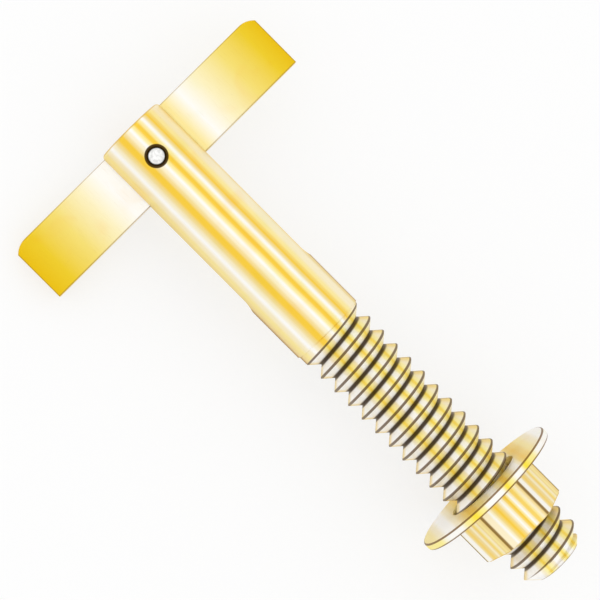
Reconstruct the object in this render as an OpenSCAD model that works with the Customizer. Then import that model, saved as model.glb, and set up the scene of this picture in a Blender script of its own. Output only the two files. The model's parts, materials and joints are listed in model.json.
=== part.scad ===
// Spring toggle bolt.
//
// A one-piece stud is slotted at one end and threaded at the other. A flat cross bar
// turns in the slot on a riveted pin: it folds in line with the stud to pass a hole,
// and a torsion spring round the pin turns it back crosswise. A washer and a hexagon
// nut run on the thread.
//
// Stud frame: x runs along the stud from the slotted tip, y along the cross bar and
// z along the pin. The finished model is laid down on z = 0, where it rests on the
// washer's rim and on the rounded tip of the stud, with the bar level.

/* [Stud] */
// Length of the stud, tip to thread end
stud_length = 76.2; // [73:0.1:90]
// Diameter of the plain shank
shank_d = 10.2; // [10:0.1:11]
// Length of the plain shank, up to the thread
shank_length = 35; // [32:0.1:40]
// Radius of the rounding at the tip
tip_round = 0.6; // [0.2:0.1:1.2]
// Chamfer at the shank's shoulder
shoulder_chamfer = 0.15; // [0.05:0.05:0.3]

/* [Thread] */
// Diameter over the crests
thread_d = 9.85; // [9.05:0.1:10.05]
// Pitch of the single right-hand start
thread_pitch = 2.42; // [2.3:0.02:2.8]
// Depth from crest to root
thread_depth = 1.3; // [0.9:0.05:1.4]
// Diameter of the flat left by the end chamfer
thread_end_d = 6.6; // [5.6:0.1:6.9]
// Radial clearance between the nut's thread and the stud's
thread_clearance = 0.12; // [0.08:0.01:0.2]

/* [Toggle bar] */
// Length of the cross bar
bar_length = 41.3; // [36:0.1:46]
// Width of the bar, measured along the stud
bar_width = 8.1; // [7.6:0.1:8.4]
// Thickness of the bar, measured along the pin
bar_thickness = 3; // [2.8:0.1:3.6]
// Distance from the pin to the bar's bearing edge
bar_bearing = 3.75; // [3.6:0.05:3.9]
// Radius of the two rounded corners on the tip side
corner_radius = 2.7; // [2:0.1:4]
// How far each rounded corner runs along the bar
corner_run = 2; // [1:0.1:2]
// Clearance between the bar and each cheek of the slot
cheek_clearance = 0.15; // [0.1:0.01:0.25]
// Clearance between the folded bar's end and the slot's floor
floor_clearance = 0.4; // [0.2:0.1:1]

/* [Pivot pin] */
// Diameter of the pin
pin_d = 2.1; // [1.8:0.1:2.4]
// Distance of the pin from the tip
pin_from_tip = 4.8; // [4.6:0.1:6]
// Radial clearance of the pin in the bar
pin_clearance = 0.05; // [0.02:0.01:0.08]
// Width of the countersink round each pin end
pin_countersink = 0.45; // [0.3:0.05:0.6]
// Height of the domed pin ends
pin_dome = 0.25; // [0.15:0.05:0.4]

/* [Torsion spring] */
// Diameter of the wire
wire_d = 0.5; // [0.4:0.02:0.52]
// Mean diameter of the coil
coil_d = 3.5; // [3.4:0.05:3.7]
// Full turns in the coil, besides its last three quarters of a turn
coil_turns = 2; // [1:1:2]
// Length of each straight leg
leg_length = 4.2; // [3:0.1:4.4]
// Clearance round the spring in its pocket and grooves
spring_clearance = 0.08; // [0.05:0.01:0.12]

/* [Washer] */
// Outer diameter of the washer
washer_d = 20.8; // [18:0.1:26]
// Thickness of the washer
washer_thickness = 1.1; // [0.8:0.1:2.5]
// Radial clearance of the washer on the shank
washer_clearance = 0.1; // [0.05:0.05:0.5]
// Rounding of the washer's rim
washer_round = 0.25; // [0.1:0.05:0.35]

/* [Nut] */
// Width across the nut's flats
nut_flats = 11.1; // [10.9:0.1:13]
// Height of the nut
nut_height = 6.4; // [5:0.1:9]
// Length of thread left past the nut
nut_from_end = 6.1; // [2:0.1:20]
// Diameter of the round face left by the nut's corner chamfers
nut_face_d = 12.2; // [11.5:0.1:12.5]
// Slope of those chamfers
nut_chamfer_angle = 30; // [20:1:40]
// Width of the countersink at each end of the nut's thread
nut_countersink = 0.15; // [0.05:0.05:0.25]

/* [Hidden] */
$fn = 96;
GOLD = [0.93, 0.76, 0.25];
PALE_GOLD = [0.96, 0.87, 0.55];
BRIGHT = [0.92, 0.92, 0.90];
SPRING_STEEL = [0.55, 0.56, 0.58];
// Overshoot of every cutting body past the face that it cuts
past = 1;
// Lengthwise sides in one turn of thread
turn_sides = 36;
// Sides of the spring wire, and rings in one turn of its coil
wire_sides = 8;
coil_rings = 20;
// Offset of the first groove from the shank's shoulder
groove_start = shank_length + 0.1;
// Angle round the stud, from +y towards +z, at which the first groove begins
groove_angle = 180;

shank_r = shank_d / 2;
crest_r = thread_d / 2;
root_r = crest_r - thread_depth;
end_r = thread_end_d / 2;
// Slot for the bar: its width, and the end of its rounded floor
slot_width = bar_thickness + 2 * cheek_clearance;
slot_r = slot_width / 2;
bar_half = bar_length / 2;
floor_x = pin_from_tip + bar_half + floor_clearance
    - sqrt(slot_r * slot_r - bar_thickness * bar_thickness / 4) + slot_r;
// Washer and nut, counted back from the thread end
nut_x = stud_length - nut_from_end - nut_height;
washer_x = nut_x - washer_thickness;
washer_r = washer_d / 2;
washer_bore_r = shank_r + washer_clearance;
// Spring: its coil stands in a round pocket sunk into the bar from the cheek side
coil_r = coil_d / 2;
wire_r = wire_d / 2;
pocket_r = coil_r + wire_r + spring_clearance;
groove_w = wire_d + 2 * spring_clearance;
coil_top = slot_r - wire_r - 0.02;
coil_rise = (wire_d + 0.045) * (coil_turns + 0.75);
coil_foot = coil_top - coil_rise;
pocket_floor = coil_foot - wire_r - 0.05;
leg_top = slot_r + wire_r - 0.03;

// Rest: the washer's rim and the tip's rounding both touch the ground, which gives
// the stud's slope from the two centres of rounding. The stud then rolls until one
// end of the bar touches too, at its lower corner beside the rounding.
rest_run = washer_x + washer_round - tip_round;
rest_rise = (washer_r - washer_round) - (shank_r - tip_round);
rest_slope = atan2(rest_rise, rest_run)
    + asin((washer_round - tip_round) / norm([rest_run, rest_rise]));
rest_height = (shank_r - tip_round) * cos(rest_slope) + tip_round
    - tip_round * sin(rest_slope);
corner_x = pin_from_tip + bar_bearing - bar_width + corner_radius
    - sqrt(corner_radius * corner_radius - corner_run * corner_run);
corner_drop = (rest_height + corner_x * sin(rest_slope)) / cos(rest_slope);
rest_roll = asin(corner_drop / norm([bar_half, bar_thickness / 2]))
    - atan2(bar_thickness / 2, bar_half);
// Middle of the laid-down model, between the tip's upper and the end's lower edge
tip_reach = tip_round - tip_round * cos(rest_slope)
    + (shank_r - tip_round) * sin(rest_slope);
end_reach = stud_length * cos(rest_slope) + end_r * sin(rest_slope);
rest_middle = (end_reach - tip_reach) / 2;

// Lays the stud frame down on the ground, centred on the origin
module laid_down() {
    translate([-rest_middle, 0, rest_height])
        rotate([rest_roll, -rest_slope, 0])
            children();
}

// Turned body round the x axis: profile points are [radius, x]
module turned(profile) {
    rotate([0, 90, 0])
        rotate_extrude()
            polygon(profile);
}

// Straight cylinder along z through the pin's centre
module upright_hole(r, z_low, z_high) {
    translate([pin_from_tip, 0, z_low])
        cylinder(r = r, h = z_high - z_low);
}

// Points of a quarter arc of radius r round [c_r, c_x], from angle a to angle b
function arc(c_r, c_x, r, a, b, steps = 6) =
    [for (i = [0 : steps]) let (t = a + (b - a) * i / steps)
        [c_r + r * cos(t), c_x + r * sin(t)]];

// ---------------------------------------------------------------- screw thread

function around(x, r, a) = [x, r * cos(a), r * sin(a)];

function smooth(t) = let (c = max(0, min(1, t))) c * c * (3 - 2 * c);

// A closed screw body. Two helical lines, the crest and the root half a pitch
// further on, wind round x from the first root point; a flat ring closes each end.
//   first        x of the first root point
//   steps        number of root points after the first
//   crest, root  radii of the two lines
//   fade         share of a turn over which the first groove deepens
//   ends         [x, radius] of the two closing rings
//   shaped       function (x, r) giving the [x, r] at which a point is really placed
module screw_body(first, steps, crest, root, fade, ends, shaped) {
    n = turn_sides;
    step = thread_pitch / n;
    angle = function (k) groove_angle + 360 * k / n;
    placed = function (x, r, k) let (p = shaped(x, r)) around(p[0], p[1], angle(k));
    depth = function (k) (crest - root) * (fade > 0 ? smooth(k / (fade * n)) : 1);

    crest_points = [for (k = [-n : steps])
        placed(first + thread_pitch / 2 + step * k, crest, k)];
    root_points = [for (k = [0 : steps]) placed(first + step * k, crest - depth(k), k)];
    start_ring = [for (j = [0 : n - 1]) around(ends[0][0], ends[0][1], angle(j))];
    end_ring = [for (j = [0 : n - 1]) around(ends[1][0], ends[1][1], angle(j))];

    c = function (k) k + n;
    r = function (k) steps + n + 1 + k;
    s = function (j) 2 * steps + n + 2 + (j % n);
    e = function (j) 2 * steps + 2 * n + 2 + (j % n);

    flanks = [for (k = [0 : steps - 1]) each [
        [c(k - n), r(k), r(k + 1)], [c(k - n), r(k + 1), c(k - n + 1)],
        [r(k), c(k), c(k + 1)], [r(k), c(k + 1), r(k + 1)]]];
    start_band = [for (j = [0 : n - 2]) each [
        [s(j), c(j - n), c(j - n + 1)], [s(j), c(j - n + 1), s(j + 1)]]];
    start_seam = [[s(n - 1), c(-1), s(0)], [c(-1), c(-n), s(0)],
        [c(-1), r(0), c(-n)], [c(-1), c(0), r(0)]];
    end_band = [for (j = [1 : n - 1]) each [
        [c(steps - n + j), e(steps + j), e(steps + j + 1)],
        [c(steps - n + j), e(steps + j + 1), c(steps - n + j + 1)]]];
    end_seam = [[c(steps - n), r(steps), c(steps - n + 1)],
        [r(steps), c(steps), c(steps - n + 1)],
        [c(steps), e(steps), c(steps - n + 1)],
        [e(steps), e(steps + 1), c(steps - n + 1)]];
    caps = [[for (j = [0 : n - 1]) s(j)], [for (j = [n - 1 : -1 : 0]) e(j)]];

    polyhedron(
        points = concat(crest_points, root_points, start_ring, end_ring),
        faces = concat(flanks, start_band, start_seam, end_band, end_seam, caps),
        convexity = 20);
}

// Thread of the stud. Past the point where the end chamfer meets the roots every
// point lies on the chamfer, so the lines are drawn together there to end in order.
module stud_thread() {
    run_out = stud_length - (root_r - end_r);
    squeeze = (stud_length - run_out) / (2 * thread_pitch);
    steps = ceil((run_out + 0.02 - groove_start) * turn_sides / thread_pitch);
    screw_body(groove_start, steps, crest_r, root_r, 0.5,
        [[groove_start - thread_pitch, crest_r], [stud_length, end_r]],
        function (x, r)
            let (at = x < run_out ? x : run_out + (x - run_out) * squeeze)
                [at, min(r, end_r + stud_length - at)]);
}

// Body that cuts the nut's thread: the same helix, larger by the clearance
module nut_thread_cutter() {
    step = thread_pitch / turn_sides;
    skipped = floor((nut_x - thread_pitch - groove_start) / thread_pitch);
    first = groove_start + skipped * thread_pitch;
    turns = ceil(nut_height / thread_pitch) + 3;
    last = first + turns * thread_pitch;
    crest = crest_r + thread_clearance;
    screw_body(first, turns * turn_sides, crest, root_r + thread_clearance, 0,
        [[first - thread_pitch, crest], [last + thread_pitch, crest]],
        function (x, r) [x, r]);
}

// ------------------------------------------------------------------------ stud

module shank() {
    turned(concat(
        [[0, 0]],
        [for (p = arc(shank_r - tip_round, tip_round, tip_round, -90, 0)) p],
        [[shank_r, shank_length - shoulder_chamfer],
         [shank_r - shoulder_chamfer, shank_length],
         [0, shank_length]]));
}

module bar_slot() {
    translate([-past, -shank_r - past, -slot_r])
        cube([floor_x - slot_r + past, shank_d + 2 * past, slot_width]);
    translate([floor_x - slot_r, 0, 0])
        rotate([90, 0, 0])
            cylinder(r = slot_r, h = shank_d + 2 * past, center = true);
}

// Groove in the upper cheek that holds the spring's long leg
module cheek_groove() {
    depth = leg_top + wire_r + spring_clearance;
    translate([pin_from_tip - wire_d, -coil_r - groove_w / 2, 0])
        cube([wire_d + leg_length + spring_clearance, groove_w, depth]);
}

// Hole through both cheeks, countersunk at 45 degrees from outside
module pin_holes() {
    pin_r = pin_d / 2;
    mouth = pin_countersink + past;
    upright_hole(pin_r, -shank_r - past, shank_r + past);
    for (side = [0, 1])
        translate([pin_from_tip, 0, 0])
            mirror([0, 0, side])
                translate([0, 0, shank_r - pin_countersink])
                    cylinder(r1 = pin_r, r2 = pin_r + mouth, h = mouth);
}

module stud() {
    color(GOLD)
        laid_down()
            union() {
                difference() {
                    shank();
                    bar_slot();
                    cheek_groove();
                    pin_holes();
                }
                stud_thread();
            }
}

// ------------------------------------------------------------------ toggle bar

// Waste outside one rounded corner, at the +y end of the tip side
module corner_waste() {
    far_edge = pin_from_tip + bar_bearing - bar_width;
    difference() {
        translate([far_edge - past, bar_half - corner_run, -bar_thickness])
            cube([corner_radius + past, corner_run + past, 2 * bar_thickness]);
        translate([far_edge + corner_radius, bar_half - corner_run, 0])
            cylinder(r = corner_radius, h = 3 * bar_thickness, center = true);
    }
}

// Pocket for the coil and groove for the leg that turns with the bar
module spring_pocket() {
    top = bar_thickness / 2 + past;
    upright_hole(pocket_r, pocket_floor, top);
    translate([pin_from_tip + coil_r - groove_w / 2,
            -leg_length - spring_clearance, pocket_floor])
        cube([groove_w, leg_length + spring_clearance, top - pocket_floor]);
}

module toggle_bar() {
    color(PALE_GOLD)
        laid_down()
            difference() {
                translate([pin_from_tip + bar_bearing - bar_width, -bar_half,
                        -bar_thickness / 2])
                    cube([bar_width, bar_length, bar_thickness]);
                corner_waste();
                mirror([0, 1, 0])
                    corner_waste();
                upright_hole(pin_d / 2 + pin_clearance, -bar_thickness, bar_thickness);
                spring_pocket();
            }
}

// ------------------------------------------------------------------------- pin

// A straight pin whose ends are riveted over into low domes
module pivot_pin() {
    r = pin_d / 2;
    neck = shank_r - pin_dome;
    dome_r = (r * r + pin_dome * pin_dome) / (2 * pin_dome);
    spread = asin(r / dome_r);
    cap = arc(0, neck + pin_dome - dome_r, dome_r, 90 - spread, 90, 8);
    foot = [for (i = [len(cap) - 1 : -1 : 0]) [cap[i][0], -cap[i][1]]];
    color(BRIGHT)
        laid_down()
            translate([pin_from_tip, 0, 0])
                rotate_extrude()
                    polygon(concat(foot, cap));
}

// ---------------------------------------------------------------------- spring

// Route of the wire's centre line: in along the bar's leg, up the coil, and out along
// the stud's leg, which climbs from the coil into the groove in the cheek
spring_route =
    let (rings = coil_rings * (coil_turns + 0.75), climb = leg_top - coil_top)
    concat(
        [[coil_r, -leg_length, coil_foot], [coil_r, -leg_length / 3, coil_foot]],
        [for (i = [0 : rings]) let (a = 360 * i / coil_rings)
            [coil_r * cos(a), coil_r * sin(a), coil_foot + coil_rise * i / rings]],
        [[pocket_r / 3, -coil_r, coil_top + climb * 0.7],
         [pocket_r * 2 / 3, -coil_r, leg_top],
         [leg_length, -coil_r, leg_top]]);

function unit(v) = v / norm(v);

// Tube of radius r along a route that never runs parallel to z
module wire_tube(route, r, sides) {
    last = len(route) - 1;
    ahead = [for (i = [0 : last])
        unit(route[min(i + 1, last)] - route[max(i - 1, 0)])];
    rings = [for (i = [0 : last])
        let (side = unit(cross([0, 0, 1], ahead[i])), up = cross(ahead[i], side))
            for (j = [0 : sides - 1])
                let (a = 360 * j / sides)
                    route[i] + r * (cos(a) * side + sin(a) * up)];
    skin = [for (i = [0 : last - 1]) for (j = [0 : sides - 1])
        let (a = i * sides + j, b = i * sides + (j + 1) % sides)
            each [[a, a + sides, b + sides], [a, b + sides, b]]];
    polyhedron(
        points = rings,
        faces = concat(skin, [[for (j = [0 : sides - 1]) j],
            [for (j = [sides - 1 : -1 : 0]) last * sides + j]]),
        convexity = 8);
}

module torsion_spring() {
    color(SPRING_STEEL)
        laid_down()
            translate([pin_from_tip, 0, 0])
                wire_tube(spring_route, wire_r, wire_sides);
}

// -------------------------------------------------------------- washer and nut

module washer() {
    back = washer_x + washer_thickness;
    rim = washer_r - washer_round;
    color(GOLD)
        laid_down()
            turned(concat(
                [[washer_bore_r, washer_x]],
                arc(rim, washer_x + washer_round, washer_round, -90, 0),
                arc(rim, back - washer_round, washer_round, 0, 90),
                [[washer_bore_r, back]]));
}

// Hexagon with one pair of flats square to the pin
module hexagon() {
    translate([nut_x, 0, 0])
        rotate([90, 0, 90])
            cylinder(r = nut_flats / 2 / cos(30), h = nut_height, $fn = 6);
}

// Turned outline that takes the hexagon's corners off at both faces
module nut_outline() {
    far = nut_flats / 2 / cos(30) + past;
    face_r = nut_face_d / 2;
    drop = (far - face_r) * tan(nut_chamfer_angle);
    turned([[0, nut_x], [face_r, nut_x], [far, nut_x + drop],
        [far, nut_x + nut_height - drop], [face_r, nut_x + nut_height],
        [0, nut_x + nut_height]]);
}

// Cone that opens the thread at the face at x: dir is 1 for inwards along +x, else -1
module thread_countersink(x, dir) {
    mouth = crest_r + thread_clearance + nut_countersink;
    translate([x, 0, 0])
        rotate([0, 90 * dir, 0])
            translate([0, 0, -past])
                cylinder(r1 = mouth + past, r2 = 0, h = mouth + past);
}

module hex_nut() {
    color(GOLD)
        laid_down()
            difference() {
                intersection() {
                    hexagon();
                    nut_outline();
                }
                nut_thread_cutter();
                thread_countersink(nut_x, 1);
                thread_countersink(nut_x + nut_height, -1);
            }
}

stud();
toggle_bar();
pivot_pin();
torsion_spring();
washer();
hex_nut();
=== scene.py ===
"""Dresses a spring toggle bolt: slotted screw, cross bar, pin, spring, washer and nut.

Every mesh is drawn in millimetres in the screw's own frame: x along the screw from its
slotted tip, y along the cross bar and z along the pivot pin. The frame is laid down to
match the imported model: pieces are laid in it, and finishes are read back in it.
"""
from __future__ import annotations

import json
import logging
import math
from dataclasses import dataclass
from enum import Enum
from typing import Any, Callable, Iterable, Mapping, Sequence

import bmesh
import bpy
from mathutils import Matrix, Vector


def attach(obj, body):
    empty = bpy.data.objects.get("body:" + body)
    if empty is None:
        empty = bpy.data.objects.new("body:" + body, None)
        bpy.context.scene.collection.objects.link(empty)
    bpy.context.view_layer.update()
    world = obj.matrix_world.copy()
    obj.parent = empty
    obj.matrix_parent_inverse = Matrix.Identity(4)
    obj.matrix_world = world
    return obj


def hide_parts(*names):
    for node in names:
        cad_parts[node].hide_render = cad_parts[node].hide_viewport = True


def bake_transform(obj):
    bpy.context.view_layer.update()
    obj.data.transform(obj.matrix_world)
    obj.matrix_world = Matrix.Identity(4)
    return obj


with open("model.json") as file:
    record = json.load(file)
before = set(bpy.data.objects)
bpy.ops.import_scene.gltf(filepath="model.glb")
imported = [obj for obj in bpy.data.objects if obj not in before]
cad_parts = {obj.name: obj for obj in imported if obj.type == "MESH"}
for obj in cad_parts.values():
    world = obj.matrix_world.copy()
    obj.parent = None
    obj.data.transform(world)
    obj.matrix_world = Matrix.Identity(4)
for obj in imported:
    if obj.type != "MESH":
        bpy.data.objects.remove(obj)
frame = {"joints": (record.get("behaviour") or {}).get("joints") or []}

Point = tuple[float, float, float]
Stop = tuple[float, tuple[float, float, float]]
# A millimetre, in the metres of the scene.
MM = 0.001
log = logging.getLogger("toggle_bolt")


# ------------------------------------------------------------------ shared frame


@dataclass(frozen=True)
class ScrewFrame:
    """Where the screw lies: its tip's centre and its three directions, in metres.

    Args:
        origin: Centre of the slotted tip.
        along: Direction from the tip to the nut.
        across: Direction of the cross bar.
        upright: Direction of the pivot pin.
    """

    origin: Vector
    along: Vector
    across: Vector
    upright: Vector

    @classmethod
    def from_joints(cls, joints: Sequence[Mapping[str, Any]], pin_from_tip: float) -> ScrewFrame:
        """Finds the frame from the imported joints.

        Args:
            joints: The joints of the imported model.
            pin_from_tip: Distance of the pin from the tip, in millimetres.

        Returns:
            The frame in which every mesh of this script is drawn.
        """
        named = {joint["name"]: joint for joint in joints}
        upright = Vector(named["toggle_pivot"]["axis"]).normalized()
        along = -Vector(named["washer_slide"]["axis"]).normalized()
        across = upright.cross(along).normalized()
        tip = Vector(named["toggle_pivot"]["pos_m"]) - along * pin_from_tip * MM
        return cls(tip, along, across, upright)

    def matrix(self) -> Matrix:
        """Gives the rigid placement of the frame."""
        turn = Matrix((self.along, self.across, self.upright)).transposed()
        return Matrix.Translation(self.origin) @ turn.to_4x4()

    def place(self, point: Point) -> Vector:
        """Gives a point of the screw, in millimetres, as a place in the scene."""
        return self.matrix() @ (Vector(point) * MM)


# Corners nearer than this, in millimetres, are one.
WELD = 2e-4
# Place of the pin along the screw.
PIN_X = 4.8
# Radius that stands for the axis itself, where a turned end closes.
AXIS = 0.001
LAID = ScrewFrame.from_joints(frame["joints"], PIN_X)


# ---------------------------------------------------------------- mesh drawing


class Cut(Enum):
    """How two closed shapes are combined."""

    AWAY = "DIFFERENCE"
    COMMON = "INTERSECT"


@dataclass
class Shape:
    """A closed surface in millimetres.

    Args:
        points: The corners.
        faces: Corner numbers of each face.
    """

    points: list[Point]
    faces: list[tuple[int, ...]]

    def mesh(self, name: str) -> bpy.types.Mesh:
        """Makes a Blender mesh whose faces all look outwards.

        Args:
            name: Name of the mesh.

        Returns:
            The mesh, still in millimetres.
        """
        made = bpy.data.meshes.new(name)
        made.from_pydata(self.points, [], self.faces)
        work = bmesh.new()
        work.from_mesh(made)
        bmesh.ops.remove_doubles(work, verts=work.verts, dist=1e-5)
        bmesh.ops.recalc_face_normals(work, faces=work.faces)
        work.to_mesh(made)
        work.free()
        return made


def arc(centre: tuple[float, float], radius: float, start: float, stop: float,
        steps: int) -> list[tuple[float, float]]:
    """Draws an arc in a plane.

    Args:
        centre: Middle of the arc.
        radius: Its radius.
        start: First angle in degrees.
        stop: Last angle in degrees.
        steps: Number of straight pieces.

    Returns:
        The points from the first angle to the last.
    """
    angles = (math.radians(start + (stop - start) * i / steps) for i in range(steps + 1))
    return [(centre[0] + radius * math.cos(a), centre[1] + radius * math.sin(a))
            for a in angles]


def skinned(rings: Sequence[Sequence[Point]], looped: bool = False) -> Shape:
    """Covers rings of equal count with a skin.

    Args:
        rings: The rings, in order.
        looped: True joins the last ring to the first, False caps both ends.

    Returns:
        The closed shape.
    """
    count = len(rings[0])
    points = [point for ring in rings for point in ring]
    spans = len(rings) if looped else len(rings) - 1
    faces: list[tuple[int, ...]] = []
    for i in range(spans):
        here, there = i * count, (i + 1) % len(rings) * count
        for j in range(count):
            k = (j + 1) % count
            faces.append((here + j, here + k, there + k, there + j))
    if not looped:
        last = (len(rings) - 1) * count
        faces.append(tuple(range(count))[::-1])
        faces.append(tuple(range(last, last + count)))
    return Shape(points, faces)


def turned(profile: Sequence[tuple[float, float]], sides: int, looped: bool = False,
           upright: bool = False) -> Shape:
    """Turns a profile round the screw's axis, or round the pin's.

    Args:
        profile: Points of radius and place along the axis.
        sides: Number of steps in a turn.
        looped: True for a ring whose profile closes on itself.
        upright: True turns round the pin instead of the screw.

    Returns:
        The closed shape.
    """
    rings: list[list[Point]] = []
    for radius, place in profile:
        ring: list[Point] = []
        for j in range(sides):
            angle = 2 * math.pi * (j + 0.5) / sides
            one, two = radius * math.cos(angle), radius * math.sin(angle)
            ring.append((one + PIN_X, two, place) if upright else (place, one, two))
        rings.append(ring)
    return skinned(rings, looped)


def block(low: Point, high: Point) -> Shape:
    """Draws a plain block, for cutting with.

    Args:
        low: Lowest corner.
        high: Highest corner.

    Returns:
        The closed shape.
    """
    ring = [(low[0], low[1]), (high[0], low[1]), (high[0], high[1]), (low[0], high[1])]
    return skinned([[(x, y, z) for x, y in ring] for z in (low[2], high[2])])


def inset(outline: Sequence[tuple[float, float]], by: float) -> list[tuple[float, float]]:
    """Draws an outline a little inside another.

    Args:
        outline: Corners, counter-clockwise.
        by: Distance between the two outlines; below zero it grows.

    Returns:
        The inner corners, in the same order.
    """
    count = len(outline)
    result = []
    for i, here in enumerate(outline):
        before, after = outline[i - 1], outline[(i + 1) % count]
        one = Vector((here[0] - before[0], here[1] - before[1])).normalized()
        two = Vector((after[0] - here[0], after[1] - here[1])).normalized()
        normals = Vector((-one.y, one.x)), Vector((-two.y, two.x))
        middle = (normals[0] + normals[1]).normalized()
        reach = by / max(0.2, middle.dot(normals[0]))
        result.append((here[0] + middle.x * reach, here[1] + middle.y * reach))
    return result


def placed(name: str, data: bpy.types.ID | None) -> bpy.types.Object:
    """Puts an object with the given data into the scene.

    Args:
        name: Name of the object.
        data: Its mesh, lamp or camera.

    Returns:
        The object.
    """
    made = bpy.data.objects.new(name, data)
    bpy.context.scene.collection.objects.link(made)
    return made


def dropped(spare: bpy.types.Object) -> None:
    """Takes an object and its mesh away.

    Args:
        spare: The object.
    """
    old = spare.data
    bpy.data.objects.remove(spare)
    bpy.data.meshes.remove(old)


def settled(blank: bpy.types.Object, name: str) -> bpy.types.Mesh:
    """Works out the modifiers of an object and takes the object away.

    Args:
        blank: The object.
        name: Name of the resulting mesh.

    Returns:
        The resulting mesh.
    """
    bpy.context.view_layer.update()
    graph = bpy.context.evaluated_depsgraph_get()
    made = bpy.data.meshes.new_from_object(blank.evaluated_get(graph))
    made.name = name
    dropped(blank)
    return made


def carved(base: Shape, steps: Iterable[tuple[Cut, Shape]], name: str) -> bpy.types.Mesh:
    """Combines closed shapes exactly.

    Args:
        base: The shape to start from.
        steps: The shapes to combine with it, and how.
        name: Name of the resulting mesh.

    Returns:
        The resulting mesh, in millimetres.
    """
    body = placed(name + "_blank", base.mesh(name))
    tools = []
    for number, (cut, shape) in enumerate(steps):
        tool = placed(f"{name}_tool{number}", shape.mesh(name + "_tool"))
        tools.append(tool)
        modifier = body.modifiers.new("cut", "BOOLEAN")
        modifier.operation = cut.value
        modifier.solver = "EXACT"
        modifier.object = tool
    made = settled(body, name)
    for tool in tools:
        dropped(tool)
    return made


@dataclass(frozen=True)
class Workshop:
    """Turns meshes into pieces that lie in the screw's frame.

    Args:
        laid: The screw's frame.
    """

    laid: ScrewFrame

    def piece(self, name: str, mesh: bpy.types.Mesh, material: bpy.types.Material,
              crease: float = 32.0) -> bpy.types.Object:
        """Finishes a mesh as a piece of the bolt.

        Args:
            name: Name of the piece.
            mesh: Its mesh, in millimetres.
            material: Its finish.
            crease: Angle in degrees above which an edge stays sharp.

        Returns:
            The piece, laid in place.
        """
        work = bmesh.new()
        work.from_mesh(mesh)
        bmesh.ops.remove_doubles(work, verts=work.verts, dist=WELD)
        bmesh.ops.dissolve_degenerate(work, edges=work.edges, dist=WELD)
        bmesh.ops.triangulate(work, faces=work.faces)
        for face in work.faces:
            face.smooth = True
        limit = math.radians(crease)
        for edge in work.edges:
            edge.smooth = len(edge.link_faces) == 2 and edge.calc_face_angle(0.0) < limit
        work.to_mesh(mesh)
        work.free()
        mesh.transform(self.laid.matrix() @ Matrix.Scale(MM, 4))
        mesh.materials.clear()
        mesh.materials.append(material)
        blank = placed(name + "_blank", mesh)
        blank.modifiers.new("even", "WEIGHTED_NORMAL").keep_sharp = True
        return placed(name, settled(blank, name))


# ---------------------------------------------------------------- shader maths


@dataclass(frozen=True)
class Value:
    """A number that a finish works out at each point of a surface.

    Args:
        recipe: The finish it belongs to.
        socket: The node output that holds it.
    """

    recipe: Recipe
    socket: bpy.types.NodeSocket

    def __add__(self, other: Value | float) -> Value:
        """Adds a number."""
        return self.recipe.maths("ADD", self, other)

    def __radd__(self, other: float) -> Value:
        """Adds to a number."""
        return self.recipe.maths("ADD", other, self)

    def __sub__(self, other: Value | float) -> Value:
        """Takes a number away."""
        return self.recipe.maths("SUBTRACT", self, other)

    def __rsub__(self, other: float) -> Value:
        """Takes this away from a number."""
        return self.recipe.maths("SUBTRACT", other, self)

    def __mul__(self, other: Value | float) -> Value:
        """Multiplies by a number."""
        return self.recipe.maths("MULTIPLY", self, other)

    def __truediv__(self, other: Value | float) -> Value:
        """Divides by a number."""
        return self.recipe.maths("DIVIDE", self, other)

    def __abs__(self) -> Value:
        """Drops the sign."""
        return self.recipe.maths("ABSOLUTE", self)

    def between(self, low: float, high: float) -> Value:
        """Rises smoothly from 0 at low to 1 at high, or falls where high is lower.

        Args:
            low: Where the result is 0.
            high: Where the result is 1.

        Returns:
            The eased share.
        """
        node = self.recipe.node(
            "ShaderNodeMapRange",
            {"interpolation_type": "SMOOTHSTEP", "clamp": True},
            {"Value": self, "From Min": low, "From Max": high})
        return Value(self.recipe, node.outputs["Result"])


@dataclass(frozen=True)
class Tint:
    """A colour that a finish works out at each point of a surface.

    Args:
        recipe: The finish it belongs to.
        socket: The node output that holds it.
    """

    recipe: Recipe
    socket: bpy.types.NodeSocket

    def mix(self, other: Tint | tuple[float, float, float], share: Value | float,
            way: str = "MIX") -> Tint:
        """Blends in another colour.

        Args:
            other: The colour to blend in.
            share: How much of it, from 0 to 1.
            way: Blend type of the Mix node.

        Returns:
            The blended colour.
        """
        tone = other if isinstance(other, Tint) else (*other, 1.0)
        node = self.recipe.node(
            "ShaderNodeMix", {"data_type": "RGBA", "blend_type": way},
            {0: share, 6: self, 7: tone})
        return Tint(self.recipe, node.outputs[2])


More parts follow.
